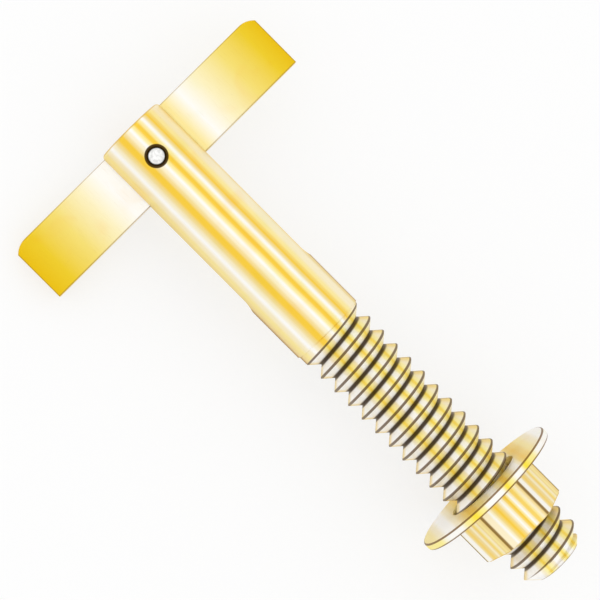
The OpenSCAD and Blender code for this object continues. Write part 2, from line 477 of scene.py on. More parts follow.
class NodeTree:
    """The node tree of a finish or of the surroundings."""

    def __init__(self, owner: bpy.types.Material | bpy.types.World) -> None:
        """Clears the tree of its owner.

        Args:
            owner: The material or world.
        """
        owner.use_nodes = True
        self.tree = owner.node_tree
        self.tree.nodes.clear()

    def node(self, kind: str, settings: Mapping[str, Any] | None = None,
             inputs: Mapping[int | str, Any] | None = None) -> bpy.types.Node:
        """Adds a node.

        Args:
            kind: Type of the node.
            settings: Its settings; "stops" holds a ramp's places and colours.
            inputs: Values or links of its sockets, by name or number.

        Returns:
            The node.
        """
        made = self.tree.nodes.new(kind)
        for key, value in (settings or {}).items():
            if key == "stops":
                self._set_stops(made.color_ramp, value)
            else:
                setattr(made, key, value)
        for key, value in (inputs or {}).items():
            socket = made.inputs[key]
            if isinstance(value, (Value, Tint)):
                value = value.socket
            if isinstance(value, bpy.types.NodeSocket):
                self.tree.links.new(value, socket)
            else:
                socket.default_value = value
        return made

    @staticmethod
    def _set_stops(ramp: bpy.types.ColorRamp, stops: Sequence[Stop]) -> None:
        """Fills a colour ramp.

        Args:
            ramp: The ramp.
            stops: Places from 0 to 1 with their colours.
        """
        while len(ramp.elements) < len(stops):
            ramp.elements.new(1.0)
        for element, (place, colour) in zip(ramp.elements, stops):
            element.position = place
            element.color = (*colour, 1.0)


class Recipe(NodeTree):
    """The node tree of one finish."""

    def __init__(self, name: str) -> None:
        """Starts a finish.

        Args:
            name: Name of the material.
        """
        self.material = bpy.data.materials.new(name)
        super().__init__(self.material)

    def maths(self, operation: str, *terms: Value | float) -> Value:
        """Works out one sum.

        Args:
            operation: Operation of the Math node.
            terms: Its numbers.

        Returns:
            The result.
        """
        node = self.node("ShaderNodeMath", {"operation": operation},
                         dict(enumerate(terms)))
        return Value(self, node.outputs[0])

    def apart(self, one: Value, two: Value) -> Value:
        """Gives the length of a line from its two square parts."""
        return self.maths("SQRT", one * one + two * two)

    def place(self) -> bpy.types.NodeSocket:
        """Gives the point on the surface, in millimetres of the screw's frame."""
        where = self.node("ShaderNodeTexCoord")
        back = self.node("ShaderNodeMapping", {"vector_type": "TEXTURE"},
                         {"Vector": where.outputs["Object"], "Location": LAID.origin,
                          "Rotation": LAID.matrix().to_euler(), "Scale": (MM, MM, MM)})
        return back.outputs[0]

    def axes(self, point: bpy.types.NodeSocket) -> tuple[Value, Value, Value]:
        """Splits a point into its three numbers."""
        split = self.node("ShaderNodeSeparateXYZ", None, {0: point})
        x, y, z = (Value(self, socket) for socket in split.outputs)
        return x, y, z

    def vector(self, x: Value | float, y: Value | float, z: Value | float) -> Any:
        """Joins three numbers into a point."""
        return self.node("ShaderNodeCombineXYZ", None, {0: x, 1: y, 2: z}).outputs[0]

    def ramp(self, place: Value, stops: Sequence[Stop], easing: str = "EASE") -> Tint:
        """Colours a number by a ramp.

        Args:
            place: The number, from 0 to 1.
            stops: Places and colours.
            easing: How colours run between stops.

        Returns:
            The colour.
        """
        node = self.node("ShaderNodeValToRGB", {"stops": stops}, {0: place})
        node.color_ramp.interpolation = easing
        return Tint(self, node.outputs[0])

    def noise(self, point: Any, scale: float, detail: float = 2.0,
              rough: float = 0.5, warp: float = 0.0) -> Value:
        """Gives soft noise.

        Args:
            point: Where it is read.
            scale: Size of its grain, in grains a unit.
            detail: Number of finer layers.
            rough: Strength of the finer layers.
            warp: Distortion.

        Returns:
            The noise, round 0.5.
        """
        node = self.node("ShaderNodeTexNoise", None,
                         {"Vector": point, "Scale": scale, "Detail": detail,
                          "Roughness": rough, "Distortion": warp})
        return Value(self, node.outputs[0])

    def bump(self, height: Value, depth_mm: float, strength: float,
             under: bpy.types.NodeSocket | None = None) -> bpy.types.NodeSocket:
        """Turns a height into a bumped normal.

        Args:
            height: The height, from 0 to 1.
            depth_mm: Depth for a height of 1.
            strength: How much of it shows.
            under: A normal that it adds to.

        Returns:
            The normal.
        """
        inputs: dict[int | str, Any] = {
            "Height": height, "Distance": depth_mm * MM, "Strength": strength}
        if under is not None:
            inputs["Normal"] = under
        return self.node("ShaderNodeBump", None, inputs).outputs[0]

    def surface(self, **inputs: Any) -> bpy.types.Material:
        """Closes the recipe with the main shader.

        Args:
            **inputs: Its sockets, with underscores for blanks.

        Returns:
            The finished material.
        """
        named = {key.replace("_", " "): value for key, value in inputs.items()}
        shader = self.node("ShaderNodeBsdfPrincipled", None, named)
        return self.close(shader.outputs[0])

    def close(self, shader: bpy.types.NodeSocket) -> bpy.types.Material:
        """Joins a shader to the output and gives the material."""
        self.node("ShaderNodeOutputMaterial", None, {0: shader})
        return self.material


# -------------------------------------------------------------------- finishes


def straight(red: int, green: int, blue: int) -> tuple[float, float, float]:
    """Turns a screen colour from 0 to 255 into a shader colour."""
    def one(c: float) -> float:
        """Converts one channel."""
        c /= 255.0
        return c / 12.92 if c <= 0.04045 else ((c + 0.055) / 1.055) ** 2.4
    return one(red), one(green), one(blue)


CLEAR = straight(255, 253, 249)
WHITE = straight(252, 250, 244)
CREAM = straight(250, 238, 203)
STRAW = straight(251, 233, 158)
HONEY = straight(247, 214, 106)
TAN = straight(243, 219, 150)
GOLD = straight(247, 205, 66)
# Painted shade: amber laid on slot walls, holes, end faces, the bar's narrow sides and the nut's
# ends.
PAINTED_SHADE = straight(222, 184, 82)
# Painted shade beside the ±y sides of the turned shank.
BRONZE = straight(186, 140, 54)
# Dark edge lines and specks; at the ±y sides of the turned parts it is also painted shade.
EDGE = straight(122, 84, 26)
# Painted deep shade: laid in the thread roots, the countersink round the pin and the nut's bore.
PAINTED_DEEP_SHADE = straight(72, 48, 10)


class ZincCoat(Recipe):
    """A yellow-zinc finish, with the grain, drift of hue and small flaws they all share."""

    def __init__(self, name: str) -> None:
        """Starts the finish and reads the surface.

        Args:
            name: Name of the material.
        """
        super().__init__(name)
        self.point = self.place()
        self.x, self.y, self.z = self.axes(self.point)

    def radius(self) -> Value:
        """Gives the distance from the screw's axis."""
        return self.apart(self.y, self.z)

    def side(self) -> Value:
        """Gives the angle from the pin's end to the +y side, as 0 at -y and 1 at +y."""
        turn = self.maths("ARCTAN2", self.y, abs(self.z))
        return turn / math.pi + 0.5

    def grain(self, along: float, across: float) -> Value:
        """Gives drawn-out grain.

        Args:
            along: Grains in a millimetre along the screw.
            across: Grains in a millimetre across it.

        Returns:
            The grain, round 0.5.
        """
        stretched = self.vector(self.x * along, self.y * across, self.z * across)
        return self.noise(stretched, 1.0, 3.0, 0.6)

    def painted_reflection_bands(self) -> Tint:
        """Gives painted reflections: bright and golden bands that run along the turned shank,
        darkening to bronze at the ±y sides as painted shade.
        """
        drift = self.noise(self.point, 0.12, 1.0, 0.4) - 0.5
        return self.ramp(self.side() + drift * 0.008, [
            (0.00, EDGE), (0.05, BRONZE), (0.11, TAN), (0.18, STRAW), (0.235, CREAM),
            (0.28, CLEAR), (0.32, CREAM), (0.35, TAN), (0.385, GOLD), (0.415, GOLD),
            (0.44, TAN), (0.47, CREAM), (0.50, WHITE), (0.53, STRAW), (0.555, GOLD),
            (0.57, GOLD), (0.595, STRAW), (0.628, WHITE), (0.66, TAN), (0.681, GOLD),
            (0.70, HONEY), (0.735, STRAW), (0.79, CREAM), (0.84, CREAM), (0.89, TAN),
            (0.95, BRONZE), (1.00, EDGE)])

    def plated(self, colour: Tint) -> Tint:
        """Lays the coat's slow drift of hue and fine specks over a colour.

        Args:
            colour: The colour under it.

        Returns:
            The coated colour.
        """
        cloud = self.noise(self.point, 0.22, 2.0, 0.5, 0.6)
        warm = colour.mix(straight(255, 226, 180), cloud.between(0.55, 0.78) * 0.20, "MULTIPLY")
        cool = warm.mix(straight(238, 246, 200), cloud.between(0.45, 0.25) * 0.18, "MULTIPLY")
        speck = self.noise(self.point, 3.1, 3.0, 0.65).between(0.66, 0.78)
        return cool.mix(EDGE, speck * 0.10)

    def closed(self, colour: Tint, fine: Value, roughness: float,
               metal: float) -> bpy.types.Material:
        """Closes a zinc finish: its grain dulls, darkens and roughens the coat a little.

        Args:
            colour: The colour of the coat.
            fine: Its grain, round 0.5.
            roughness: Roughness of the coat.
            metal: Share of metal in its gloss.

        Returns:
            The finished material.
        """
        toned = self.plated(colour.mix(straight(206, 156, 46), fine.between(0.55, 0.85) * 0.16))
        smear = self.noise(self.point, 0.5, 3.0, 0.6)
        rough = roughness + (smear - 0.5) * 0.16 + (fine - 0.5) * 0.12
        return self.surface(
            Base_Color=toned, Roughness=rough, Metallic=metal, Specular_IOR_Level=0.3,
            Normal=self.bump(fine, 0.012, 0.35))


@dataclass(frozen=True)
class BarrelZinc:
    """Yellow zinc on the turned shank, with painted reflections as bright and golden bands along
    it and painted shade in its slot, pin hole and on its tip's end.

    Args:
        radius: Radius of the shank.
        length: Its length.
        mouth: Radius of the countersink round the pin.
        roughness: Roughness of the polished coat.
        metal: Share of metal in its gloss.
    """

    radius: float
    length: float
    mouth: float
    roughness: float = 0.42
    metal: float = 0.75

    def material(self) -> bpy.types.Material:
        """Makes the finish."""
        coat = ZincCoat("yellow_zinc_barrel")
        bands = coat.painted_reflection_bands()
        # Painted shade: amber inside the slot and the pin's hole, short of the shoulder.
        inner = coat.radius().between(self.radius - 0.10, self.radius - 0.26)
        inner = inner * coat.x.between(self.length - 0.1, self.length - 0.4)
        toned = bands.mix(PAINTED_SHADE, inner * 0.80)
        # Painted shade: amber on the tip's end face.
        toned = toned.mix(PAINTED_SHADE, coat.x.between(0.04, 0.0) * 0.7)
        # Painted shade: a near-black ring in the countersink round each end of the pin.
        round_pin = coat.apart(coat.x - PIN_X, coat.y)
        mouth = round_pin.between(self.mouth + 0.03, self.mouth - 0.05)
        outside = abs(coat.z).between(self.radius - 1.5, self.radius - 1.1)
        toned = toned.mix(PAINTED_DEEP_SHADE, mouth * outside * 0.97)
        return coat.closed(toned, coat.grain(0.25, 9.0), self.roughness, self.metal)


@dataclass(frozen=True)
class ThreadZinc:
    """Yellow zinc on the screw thread: painted reflections as golden patches, painted shade in
    dark roots and along its sides, fine crest lines.

    Args:
        pitch: Advance of the thread in a turn.
        start: Place of its first root.
        crest: Radius of its crests.
        root: Radius of its roots.
        length: Place of the screw's end.
        end_r: Radius of the flat on that end, inside its 45 degree chamfer.
        roughness: Roughness of the coat.
        metal: Share of metal in its gloss.
    """

    pitch: float
    start: float
    crest: float
    root: float
    length: float
    end_r: float
    roughness: float = 0.42
    metal: float = 0.50

    def material(self) -> bpy.types.Material:
        """Makes the finish."""
        coat = ZincCoat("yellow_zinc_thread")
        radius = coat.radius()
        # Painted reflections: golden and pale bands across the thread.
        lemon, gold = straight(255, 244, 172), straight(253, 224, 96)
        bands = coat.ramp(coat.y / (2 * self.crest) + 0.5, [
            (0.00, CREAM), (0.06, CLEAR), (0.22, CLEAR), (0.27, CREAM), (0.305, lemon),
            (0.342, gold), (0.385, lemon), (0.435, CREAM), (0.47, CLEAR), (0.52, CLEAR),
            (0.568, lemon), (0.606, gold), (0.638, lemon), (0.672, CLEAR), (0.715, CLEAR),
            (0.757, lemon), (0.798, gold), (0.835, lemon), (0.895, CREAM), (1.00, lemon)])
        # Painted shade: honey gold towards the sides.
        flank = abs(coat.side() - 0.5)
        bands = bands.mix(HONEY, flank.between(0.33, 0.44) * 0.75)
        depth = (self.crest - radius) / (self.crest - self.root)
        chamfer = (radius + coat.x - self.end_r).between(self.length - 0.08, self.length - 0.03)
        end = coat.maths("MAXIMUM", chamfer,
                           coat.x.between(self.length - 0.06, self.length - 0.02))
        groove = 1 - end
        last = coat.x.between(self.length - 1.5, self.length - 1.9)
        # Painted shade: dark roots, weaker near the screw's end.
        toned = bands.mix(PAINTED_DEEP_SHADE, depth.between(0.70, 0.88) * groove * (last * 0.78 + 0.14))
        angle = coat.maths("ARCTAN2", coat.z, coat.y)
        turn = coat.maths("FRACT", angle / (2 * math.pi) - 0.5)
        cut = (coat.x - self.start) / self.pitch - turn
        line = depth.between(0.17, 0.09) * groove * cut.between(-0.56, -0.53)
        # The run-in takes the shank's painted reflection bands.
        toned = toned.mix(coat.painted_reflection_bands(), cut.between(-0.53, -0.56))
        toned = toned.mix(straight(96, 66, 20), line * 0.88)
        # Painted shade: a dark line along both sides.
        toned = toned.mix(EDGE, flank.between(0.467, 0.5) * 0.6)
        rim = chamfer * depth.between(0.10, 0.0)
        lip = coat.x.between(self.length - 0.16, self.length - 0.06) * chamfer
        toned = toned.mix(EDGE, (rim + lip) * 0.6)
        fine = coat.noise(coat.point, 5.0, 3.0, 0.6)
        return coat.closed(toned, fine, self.roughness, self.metal)


@dataclass(frozen=True)
class BarZinc:
    """Yellow zinc on the flat bar, with painted light: pale at the screw, deep gold at the ends.

    Args:
        half: Half the bar's length.
        thickness: Its thickness.
        near: Place of its edge on the screw's tip side.
        far: Place of its other edge.
        roughness: Roughness of the coat.
        metal: Share of metal in its gloss.
    """

    half: float
    thickness: float
    near: float
    far: float
    roughness: float = 0.44
    metal: float = 0.75

    def material(self) -> bpy.types.Material:
        """Makes the finish."""
        coat = ZincCoat("yellow_zinc_flat_bar")
        # Painted light: a pale highlight near the screw, shading to deep gold at the ends.
        deep, rich = straight(232, 190, 8), straight(236, 203, 43)
        butter, ivory = straight(243, 221, 117), straight(250, 239, 192)
        tone = coat.ramp(coat.y / (2 * self.half) + 0.5, [
            (0.00, deep), (0.07, rich), (0.166, butter), (0.263, ivory), (0.335, WHITE),
            (0.42, WHITE), (0.52, ivory), (0.60, STRAW), (0.63, STRAW), (0.684, WHITE),
            (0.757, ivory), (0.853, butter), (0.945, rich), (1.00, deep)], "LINEAR")
        brim = coat.maths(
            "MINIMUM", abs(coat.y).between(self.half - 0.05, self.half - 0.16),
            coat.maths("MINIMUM", coat.x.between(self.near - 0.05, self.near - 0.16),
                         coat.x.between(self.far + 0.05, self.far + 0.16)))
        flat = abs(coat.z).between(self.thickness / 2 - 0.12, self.thickness / 2 - 0.02)
        toned = tone.mix(EDGE, (1 - brim) * flat * 0.85)
        # Painted shade: amber on the bar's narrow sides.
        toned = toned.mix(PAINTED_SHADE, (1 - flat) * 0.4)
        return coat.closed(toned, coat.grain(0.5, 9.0), self.roughness, self.metal)


@dataclass(frozen=True)
class WasherZinc:
    """Yellow zinc on the washer: painted reflection bands across its face, golden beside the
    thread, painted reflection stripes round its rim, dark edges.

    Args:
        rim: Radius of the washer.
        middle: Place of its middle along the screw.
        thickness: Its thickness.
        bore: Radius of its hole.
        roughness: Roughness of the coat.
        metal: Share of metal in its gloss.
    """

    rim: float
    middle: float
    thickness: float
    bore: float
    roughness: float = 0.42
    metal: float = 0.50

    def material(self) -> bpy.types.Material:
        """Makes the finish."""
        coat = ZincCoat("yellow_zinc_washer")
        radius, side = coat.radius(), coat.side()
        # Painted reflections: bands across the face.
        face = coat.ramp(coat.y / (2 * self.rim) + 0.5, [
            (0.00, STRAW), (0.06, STRAW), (0.104, CREAM), (0.15, CLEAR), (0.185, CLEAR),
            (0.225, CREAM), (0.265, TAN), (0.296, HONEY), (0.32, GOLD), (0.345, GOLD),
            (0.40, STRAW), (0.45, CREAM), (0.49, CLEAR), (0.515, CLEAR), (0.54, CREAM),
            (0.562, STRAW), (0.588, GOLD), (0.602, GOLD), (0.635, STRAW), (0.66, CREAM),
            (0.69, CLEAR), (0.712, CLEAR), (0.732, CREAM), (0.754, HONEY), (0.778, GOLD),
            (0.81, HONEY), (0.85, STRAW), (0.90, CREAM), (0.945, CLEAR), (1.00, CLEAR)])
        # Painted reflections: stripes round the rim.
        lemon, pale = straight(252, 228, 62), straight(252, 238, 150)
        stripes = coat.ramp(side, [
            (0.00, lemon), (0.10, pale), (0.18, pale), (0.24, WHITE), (0.31, WHITE),
            (0.35, pale), (0.39, lemon), (0.43, pale), (0.455, WHITE), (0.525, WHITE),
            (0.552, lemon), (0.58, pale), (0.61, WHITE), (0.635, WHITE), (0.664, lemon),
            (0.715, pale), (0.77, WHITE), (0.93, WHITE), (1.00, pale)])
        skirt = radius.between(self.rim - 0.16, self.rim - 0.08)
        middle = abs(coat.x - self.middle)
        flank = middle.between(self.thickness / 2 - 0.26, self.thickness / 2 - 0.16)
        toned = face.mix(stripes, skirt * (1 - flank))
        edge = radius.between(self.rim - 0.24, self.rim - 0.14) * flank
        toned = toned.mix(EDGE, edge * 0.9)
        # Painted light: pale straw in the bore, lifting its shade.
        bore = radius.between(self.bore + 0.12, self.bore + 0.02)
        toned = toned.mix(STRAW, bore * 0.8)
        turns = coat.vector(radius * 9.0, side * 0.6, coat.x * 0.1)
        fine = coat.noise(turns, 1.0, 3.0, 0.6)
        return coat.closed(toned, fine, self.roughness, self.metal)


@dataclass(frozen=True)
class NutZinc:
    """Yellow zinc on the nut: painted reflections as bands along its flats, dark corners,
    painted shade at its ends and in its bore.

    Args:
        flats: Width across the flats.
        middle: Place of the nut's middle along the screw.
        height: The nut's height.
        bore: Radius within which its thread lies.
        roughness: Roughness of the coat.
        metal: Share of metal in its gloss.
    """

    flats: float
    middle: float
    height: float
    bore: float
    roughness: float = 0.42
    metal: float = 0.75

    def material(self) -> bpy.types.Material:
        """Makes the finish."""
        coat = ZincCoat("yellow_zinc_nut")
        radius = coat.radius()
        face = self.flats * math.tan(math.radians(30))
        # Painted reflections: bands across the top flat.
        top = coat.ramp(coat.y / face + 0.5, [
            (0.00, TAN), (0.07, CREAM), (0.14, CREAM), (0.195, WHITE), (0.235, CREAM),
            (0.272, TAN), (0.31, HONEY), (0.345, GOLD), (0.386, HONEY), (0.425, TAN),
            (0.462, CREAM), (0.50, WHITE), (0.54, CREAM), (0.578, HONEY), (0.616, GOLD),
            (0.654, STRAW), (0.692, WHITE), (0.73, CREAM), (0.769, HONEY), (0.807, HONEY),
            (0.845, STRAW), (0.884, CREAM), (0.95, TAN), (1.00, TAN)])
        # Painted reflections: bands across the sloped flats.
        sloped = coat.maths("FRACT", (coat.y + face) / (face / 2))
        wing = coat.ramp(sloped, [
            (0.00, STRAW), (0.08, WHITE), (0.17, WHITE), (0.25, TAN), (0.31, HONEY),
            (0.41, TAN), (0.49, CREAM), (0.555, TAN), (0.59, HONEY), (0.65, STRAW),
            (0.71, CREAM), (0.765, TAN), (0.82, STRAW), (0.90, TAN), (1.00, HONEY)])
        tone = top.mix(wing, abs(coat.y).between(face / 2 - 0.01, face / 2 + 0.01))
        corner = self.flats / 2 / math.cos(math.radians(30))
        toned = tone.mix(EDGE, radius.between(corner - 0.17, corner - 0.07) * 0.85)
        reach = abs(coat.x - self.middle)
        # Painted shade: amber at both ends.
        lip = reach.between(self.height / 2 - 0.14, self.height / 2 - 0.05)
        toned = toned.mix(PAINTED_SHADE, lip * 0.7)
        # Painted shade: dark in the bore.
        bore = radius.between(self.bore + 0.06, self.bore - 0.06)
        toned = toned.mix(PAINTED_DEEP_SHADE, bore * 0.8)
        return coat.closed(toned, coat.grain(0.3, 8.0), self.roughness, self.metal)


@dataclass(frozen=True)
class BrightSteel:
    """Bright steel of the riveted pin, hammered a little at its ends.

    Args:
        radius: Radius of the pin.
        roughness: Roughness of the steel.
    """

    radius: float = 1.05
    roughness: float = 0.36

    def material(self) -> bpy.types.Material:
        """Makes the finish."""
        recipe = Recipe("bright_pin_steel")
        point = recipe.place()
        x, y, _ = recipe.axes(point)
        radius = recipe.apart(x - PIN_X, y)
        dents = recipe.noise(point, 2.4, 2.0, 0.5)
        fine = recipe.noise(point, 11.0, 3.0, 0.6)
        base = recipe.ramp(dents.between(0.3, 0.7), [
            (0.0, straight(226, 226, 224)), (1.0, straight(252, 252, 250))])
        # Painted shade: a dark ring at the pin's rim, where it meets its hole.
        toned = base.mix(straight(60, 56, 50),
                         radius.between(self.radius - 0.14, self.radius - 0.02) * 0.9)
        toned = toned.mix(straight(170, 168, 160), fine.between(0.6, 0.8) * 0.25)
        rough = self.roughness + (fine - 0.5) * 0.2
        normal = recipe.bump(dents, 0.03, 0.4, recipe.bump(fine, 0.008, 0.3))
        return recipe.surface(Base_Color=toned, Roughness=rough, Normal=normal,
                              Metallic=0.35, Specular_IOR_Level=0.4)


@dataclass(frozen=True)
class SpringWire:
    """Drawn, oiled spring wire.

    Args:
        roughness: Roughness of the wire.
    """

    roughness: float = 0.32

    def material(self) -> bpy.types.Material:
        """Makes the finish."""
        recipe = Recipe("spring_wire_steel")
        point = recipe.place()
        stain = recipe.noise(point, 0.9, 3.0, 0.6, 0.4)
        fine = recipe.noise(point, 8.0, 3.0, 0.65)
        base = recipe.ramp(stain, [
            (0.25, straight(96, 98, 104)), (0.5, straight(150, 152, 156)),
            (0.75, straight(176, 170, 158))])
        toned = base.mix(straight(60, 56, 52), fine.between(0.6, 0.8) * 0.35)
        rough = self.roughness + (fine - 0.5) * 0.3
        normal = recipe.bump(fine, 0.01, 0.4)
        return recipe.surface(Base_Color=toned, Roughness=rough, Normal=normal,
                              Metallic=0.85, Specular_IOR_Level=0.5)


@dataclass(frozen=True)
class PaleFloor:
    """A plain pale floor that keeps the bolt's shadow.

    Args:
        share: How much of the floor shows as plain white.
    """

    share: float = 0.70

    def material(self) -> bpy.types.Material:
        """Makes the finish."""
        recipe = Recipe("pale_floor")
        diffuse = recipe.node("ShaderNodeBsdfDiffuse", None,
                              {"Color": (0.93, 0.93, 0.93, 1.0)})
        white = recipe.node("ShaderNodeEmission", None,
                            {"Color": (1.0, 1.0, 1.0, 1.0), "Strength": 1.0})
        rays = recipe.node("ShaderNodeLightPath")
        seen = Value(recipe, rays.outputs["Is Camera Ray"])
        seen = recipe.maths("MAXIMUM", seen, Value(recipe, rays.outputs["Is Glossy Ray"]))
        seen = recipe.maths("MAXIMUM", seen,
                            Value(recipe, rays.outputs["Is Transmission Ray"]))
        mixed = recipe.node("ShaderNodeMixShader", None,
                            {0: seen * self.share, 1: diffuse.outputs[0],
                             2: white.outputs[0]})
        return recipe.close(mixed.outputs[0])


# ------------------------------------------------------------------------ parts


@dataclass(frozen=True)
class Helix:
    """The thread: one right-hand V groove round the screw.

    Args:
        pitch: Advance in a turn.
        crest: Radius of the crests.
        root: Radius of the roots.
        start: Place of the first root.
        sides: Steps in a turn.
        soften: Rounding of crests and roots, as a share of the depth.
    """

    pitch: float = 2.42
    crest: float = 4.925
    root: float = 3.625
    start: float = 35.1
    sides: int = 72
    soften: float = 0.07

    # Shares of a pitch at which the groove's profile is drawn, closest round crest and root.
    COLUMNS = (0.0, 0.018, 0.045, 0.09, 0.17, 0.26, 0.35, 0.42, 0.458, 0.482,
               0.5, 0.518, 0.542, 0.58, 0.65, 0.74, 0.83, 0.91, 0.955, 0.982)

    def height(self, phase: float) -> float:
        """Gives the share of the groove's depth, 0 in the root and 1 on the crest."""
        d, b = 2 * min(phase, 1 - phase), self.soften
        def curve(t: float) -> float:
            """Rises from root to crest with both ends rounded."""
            return (math.hypot(t, b) - math.hypot(1 - t, b) + 1) / 2
        low = curve(0.0)
        return (curve(d) - low) / (1 - 2 * low)

    def body(self, turns: int, before: int, grow: float, fade: float) -> Shape:
        """Draws a closed threaded rod.

        Args:
            turns: Turns of groove after the first root.
            before: Turns before it.
            grow: Added to both radii.
            fade: Turns over which the first groove deepens, 0 for none.

        Returns:
            The closed rod, longer at both ends than its thread.
        """
        n, columns = self.sides, self.COLUMNS
        m = len(columns)
        first, last = -before * m, turns * m
        index: dict[tuple[int, int], int] = {}
        points: list[Point] = []
        for a in range(n):
            top = last + m if a == 0 else last
            for j in range(first, top + 1):
                turn, c = divmod(j, m)
                phase = columns[c]
                groove = a / n + turn + (1 if phase > 0.5 else 0)
                depth = 1.0
                if fade > 0:
                    t = max(0.0, min(1.0, groove / fade))
                    depth = t * t * (3 - 2 * t)
                radius = self.crest - (self.crest - self.root) * depth * (
                    1 - self.height(phase)) + grow
                x = self.start + self.pitch * (a / n + turn + phase)
                angle = math.pi + 2 * math.pi * a / n
                index[a, j] = len(points)
                points.append((x, radius * math.cos(angle), radius * math.sin(angle)))
        faces: list[tuple[int, ...]] = []
        for a in range(n):
            b, shift = (a + 1, 0) if a < n - 1 else (0, m)
            for j in range(first, last):
                faces.append((index[a, j], index[a, j + 1],
                              index[b, j + 1 + shift], index[b, j + shift]))
        foot = len(points)
        points.append((self.start + self.pitch * (-before - 1), 0.0, 0.0))
        points.append((self.start + self.pitch * (turns + 2), 0.0, 0.0))
        low = [index[a, first] for a in range(n)] + [
            index[0, first + k] for k in range(m, 0, -1)]
        high = [index[a, last] for a in range(n)] + [
            index[0, last + k] for k in range(m, 0, -1)]
        for loop, tip in ((low, foot), (high, foot + 1)):
            faces += [(loop[i], loop[(i + 1) % len(loop)], tip) for i in range(len(loop))]
        return Shape(points, faces)


@dataclass(frozen=True)
class Screw:
    """The slotted shank and the threaded end.

    Args:
        length: Whole length.
        shank_length: Length of the plain shank.
        shank_r: Radius of the shank.
        tip_round: Rounding of the slotted tip.
        shoulder: Chamfer at the shank's end.
        slot_r: Half the slot's width and radius of its floor.
        floor_x: End of the slot's floor.
        rim: Broken edge round the slot.
        pin_r: Radius of the pin's hole.
        countersink: Widening of the hole at its mouths.
        end_r: Radius left on the thread's end.
        clear_r: Radius that stands clear of the whole thread.
        leg_groove: Lowest and highest corner of the groove for the spring's upper leg.
    """

    length: float = 76.2
    shank_length: float = 35.0
    shank_r: float = 5.1
    tip_round: float = 0.6
    shoulder: float = 0.15
    slot_r: float = 1.65
    floor_x: float = 26.8126
    rim: float = 0.05
    pin_r: float = 1.05
    countersink: float = 0.45
    end_r: float = 3.3
    clear_r: float = 5.6
    leg_groove: tuple[Point, Point] = ((4.3, -2.08, 0.5), (9.08, -1.42, 2.2))

    def blank(self) -> Shape:
        """Turns the shank without its slot."""
        corner = arc((self.shank_r - self.tip_round, self.tip_round), self.tip_round,
                     -90, 0, 10)
        profile = [(AXIS, 0.0), (2.0, 0.0), *corner, (self.shank_r, 12.0),
                   (self.shank_r, 24.0), (self.shank_r, self.shank_length - self.shoulder),
                   (self.shank_r - self.shoulder, self.shank_length),
                   (4.0, self.shank_length), (AXIS, self.shank_length)]
        return turned(profile, 180)

    def slot(self) -> Shape:
        """Draws the slot's cutter, flared where it leaves the shank and its tip."""
        rim, r = self.rim, self.slot_r
        centre = self.floor_x - r
        outline = [(-1.0, -r - 1.0 - rim), (rim, -r)]
        outline += [(centre * i / 6, -r) for i in range(1, 6)]
        outline += arc((centre, 0.0), r, -90, 90, 28)
        outline += [(centre * i / 6, r) for i in range(5, 0, -1)]
        outline += [(rim, r), (-1.0, r + 1.0 + rim)]
        wide = inset(outline, -2 * rim)

        def edge(z: float) -> float:
            """Gives the half width of the shank at a height."""
            return math.sqrt(max(0.2, self.shank_r ** 2 - z ** 2))

        rings = []
        for side in (-1, 1):
            outer = [(x, side * 6.5, z) for x, z in wide]
            mouth = [(x, side * (edge(z) + rim), z) for x, z in wide]
            inner = [(x, side * (edge(z) - rim), z) for x, z in outline]
            rings += [outer, mouth, inner] if side < 0 else [inner, mouth, outer]
        return skinned(rings)

    def pin_hole(self) -> Shape:
        """Draws the cutter of the pin's countersunk hole."""
        deep = self.shank_r - self.countersink
        profile = [(self.pin_r + 2.0, -deep - 2.0), (self.pin_r, -deep),
                   (self.pin_r, deep), (self.pin_r + 2.0, deep + 2.0)]
        return turned(profile, 64, upright=True)

    def shank(self) -> bpy.types.Mesh:
        """Cuts slot, hole and spring groove into the shank."""
        cutters = (self.slot(), self.pin_hole(), block(*self.leg_groove))
        return carved(self.blank(), [(Cut.AWAY, cutter) for cutter in cutters], "shank")

    def threaded_end(self, helix: Helix) -> bpy.types.Mesh:
        """Cuts the thread to its length, with its run-in and its chamfered end.

        Args:
            helix: The thread.

        Returns:
            The mesh in millimetres.
        """
        chamfer = self.clear_r - self.end_r
        start = self.shank_length - 0.5
        envelope = turned([(AXIS, start), (self.clear_r, start),
                           (self.clear_r, self.length - chamfer),
                           (self.end_r, self.length), (AXIS, self.length)], 180)
        turns = math.ceil((self.length - helix.start) / helix.pitch) + 1
        return carved(helix.body(turns, 2, 0.0, 0.5), [(Cut.COMMON, envelope)], "thread")

    def build(self, shop: Workshop, helix: Helix) -> list[bpy.types.Object]:
        """Makes both pieces of the screw and joins them to its body.

        Args:
            shop: Makes pieces.
            helix: The thread.

        Returns:
            The pieces.
        """
        barrel = BarrelZinc(self.shank_r, self.shank_length, self.pin_r + self.countersink)
        shank = shop.piece("slotted_shank", self.shank(), barrel.material())
        coat = ThreadZinc(helix.pitch, helix.start, helix.crest, helix.root, self.length,
                          self.end_r)
        thread = shop.piece("screw_thread", self.threaded_end(helix), coat.material(), 50.0)
        for made in (shank, thread):
            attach(made, "stud")
            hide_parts("stud")
        return [shank, thread]


